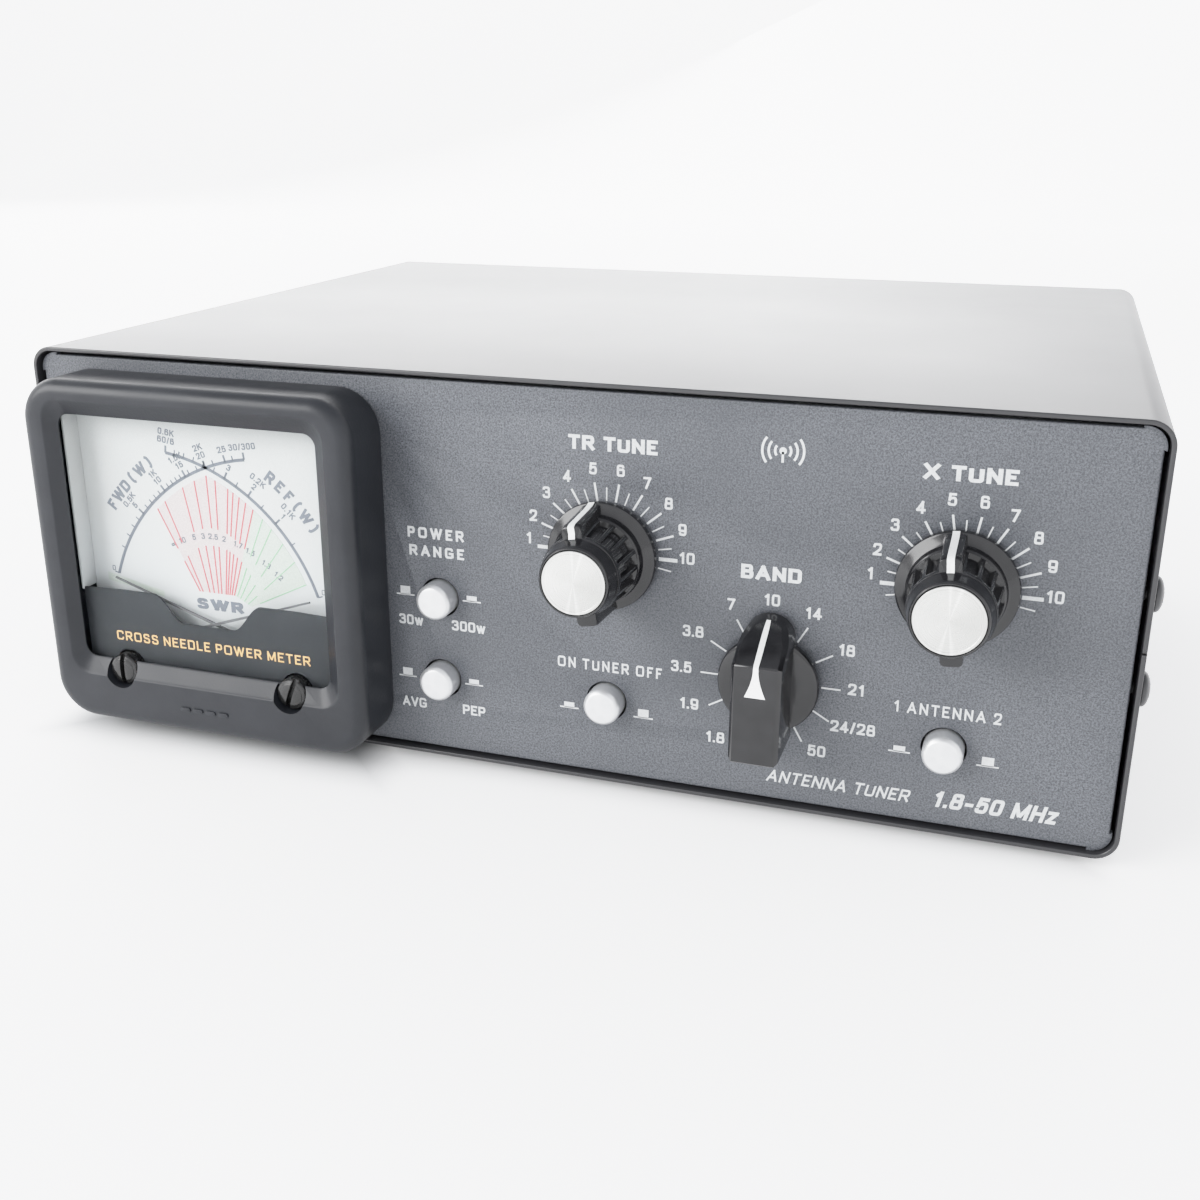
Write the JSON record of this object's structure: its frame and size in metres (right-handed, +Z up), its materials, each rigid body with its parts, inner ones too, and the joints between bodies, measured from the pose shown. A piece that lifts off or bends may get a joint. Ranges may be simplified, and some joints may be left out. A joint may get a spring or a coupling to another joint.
{
  "type": "antenna tuner",
  "caption": "Desktop antenna tuner: folded steel case with a crossed-needle meter, skirted tuning knobs, a band switch and round push buttons.",
  "frame": {"origin": "centre of the bounding box's bottom face, on the table under the feet", "axes": "+X to the right seen from the front, +Y to the rear, +Z up; the front panel faces -Y"},
  "size_m": [0.2544, 0.2336, 0.092],
  "materials": {
    "black_steel": "satin black powder coat",
    "panel_paint": "fine-speckled dark metallic grey",
    "screw_black": "blackened steel",
    "bezel_plastic": "fine moulded texture",
    "window_clear": "clear moulded cover",
    "meter_black": "moulded black",
    "mask_black": "smooth dark grey",
    "dial_white": "printed white plate",
    "needle_black": "blackened",
    "adjuster_black": "moulded black",
    "knob_black": "glossy black",
    "cap_aluminium": "spun disc",
    "button_silver": "satin silver",
    "bare_steel": "plated steel",
    "plate_aluminium": "sheet plates",
    "shaft_brass": "turned brass",
    "coil_copper": "bare copper wire",
    "wafer_ceramic": "glazed ceramic",
    "switch_black": "moulded black",
    "board_green": "solder resist",
    "nickel": "nickel plate",
    "jack_black": "moulded black",
    "foot_rubber": "matt rubber"
  },
  "bodies": {
    "chassis": {"top_cover": "black_steel", "bottom_cover": "black_steel", "front_panel": "panel_paint", "rear_panel": "panel_paint", "control_bracket": "bare_steel", "meter_bezel": "bezel_plastic", "meter_window": "window_clear", "meter_housing": "meter_black", "meter_mask": "mask_black", "meter_dial": "dial_white", "forward_movement": "bare_steel", "reflected_movement": "bare_steel", "tr_tune_capacitor_frame": "bare_steel", "tr_tune_stator": "plate_aluminium", "x_tune_capacitor_frame": "bare_steel", "x_tune_stator": "plate_aluminium", "band_switch_detent": "bare_steel", "band_switch_wafer": "wafer_ceramic", "power_range_switch": "switch_black", "avg_pep_switch": "switch_black", "tuner_switch": "switch_black", "antenna_switch": "switch_black", "bridge_board": "board_green", "coil_former": "wafer_ceramic", "tapped_coil": "coil_copper", "rig_socket": "nickel", "antenna_1_socket": "nickel", "antenna_2_socket": "nickel", "dc_jack": "jack_black", "ground_stud": "nickel", "cover_screw_left_front_lower": "screw_black", "cover_screw_left_front_upper": "screw_black", "cover_screw_left_rear_lower": "screw_black", "cover_screw_left_rear_upper": "screw_black", "cover_screw_right_front_lower": "screw_black", "cover_screw_right_front_upper": "screw_black", "cover_screw_right_rear_lower": "screw_black", "cover_screw_right_rear_upper": "screw_black", "foot_front_left": "foot_rubber", "foot_rear_left": "foot_rubber", "foot_front_right": "foot_rubber", "foot_rear_right": "foot_rubber"},
    "tr_tune_control": {"tr_tune_knob": "knob_black", "tr_tune_knob_cap": "cap_aluminium", "tr_tune_rotor": "shaft_brass"},
    "x_tune_control": {"x_tune_knob": "knob_black", "x_tune_knob_cap": "cap_aluminium", "x_tune_rotor": "shaft_brass"},
    "band_control": {"band_knob": "knob_black", "band_switch_shaft": "shaft_brass"},
    "power_range_push": {"power_range_button": "button_silver"},
    "avg_pep_push": {"avg_pep_button": "button_silver"},
    "tuner_push": {"tuner_button": "button_silver"},
    "antenna_push": {"antenna_button": "button_silver"},
    "forward_pointer": {"forward_needle": "needle_black"},
    "reflected_pointer": {"reflected_needle": "needle_black"},
    "zero_left": {"zero_adjuster_left": "adjuster_black"},
    "zero_right": {"zero_adjuster_right": "adjuster_black"},
    "ground_washer_body": {"ground_washer": "nickel"},
    "ground_nut_body": {"ground_wing_nut": "nickel"}
  },
  "joints": [
    {"name": "tr_tune_turn", "type": "hinge", "parent": "chassis", "child": "tr_tune_control", "pos_m": [0.0162, -0.09825, 0.0551], "axis": [0, 1, 0], "range_deg": [-80, 100]},
    {"name": "x_tune_turn", "type": "hinge", "parent": "chassis", "child": "x_tune_control", "pos_m": [0.0892, -0.09825, 0.0561], "axis": [0, 1, 0], "range_deg": [-85, 95]},
    {"name": "band_turn", "type": "hinge", "parent": "chassis", "child": "band_control", "pos_m": [0.053, -0.09825, 0.0309], "axis": [0, 1, 0], "range_deg": [-150, 150]},
    {"name": "power_range_press", "type": "slide", "parent": "chassis", "child": "power_range_push", "axis": [0, 1, 0], "range_m": [0, 0.003], "stiffness_N_per_m": 250},
    {"name": "avg_pep_press", "type": "slide", "parent": "chassis", "child": "avg_pep_push", "axis": [0, 1, 0], "range_m": [0, 0.003], "stiffness_N_per_m": 250},
    {"name": "tuner_press", "type": "slide", "parent": "chassis", "child": "tuner_push", "axis": [0, 1, 0], "range_m": [0, 0.003], "stiffness_N_per_m": 250},
    {"name": "antenna_press", "type": "slide", "parent": "chassis", "child": "antenna_push", "axis": [0, 1, 0], "range_m": [0, 0.003], "stiffness_N_per_m": 250},
    {"name": "forward_needle_swing", "type": "hinge", "parent": "chassis", "child": "forward_pointer", "pos_m": [-0.06065, -0.09825, 0.0246], "axis": [0, 1, 0], "range_deg": [0, 64], "stiffness_Nm_per_rad": 0.0001},
    {"name": "reflected_needle_swing", "type": "hinge", "parent": "chassis", "child": "reflected_pointer", "pos_m": [-0.09405, -0.09825, 0.0246], "axis": [0, -1, 0], "range_deg": [0, 64], "stiffness_Nm_per_rad": 0.0001},
    {"name": "zero_left_turn", "type": "hinge", "parent": "chassis", "child": "zero_left", "pos_m": [-0.10005, -0.09825, 0.0177], "axis": [0, 1, 0], "continuous": true},
    {"name": "zero_right_turn", "type": "hinge", "parent": "chassis", "child": "zero_right", "pos_m": [-0.05465, -0.09825, 0.0177], "axis": [0, 1, 0], "continuous": true},
    {"name": "ground_washer_travel", "type": "slide", "parent": "chassis", "child": "ground_washer_body", "axis": [0, 1, 0], "range_m": [0, 0.0061]},
    {"name": "ground_nut_turn", "type": "hinge", "parent": "ground_washer_body", "child": "ground_nut_body", "pos_m": [0.097, 0.09765, 0.029], "axis": [0, 1, 0], "range_deg": [0, 2700]}
  ],
  "couplings": [
    {"joint": "ground_washer_travel", "follows": "ground_nut_turn", "m_per_rad": 0.00012732}
  ]
}
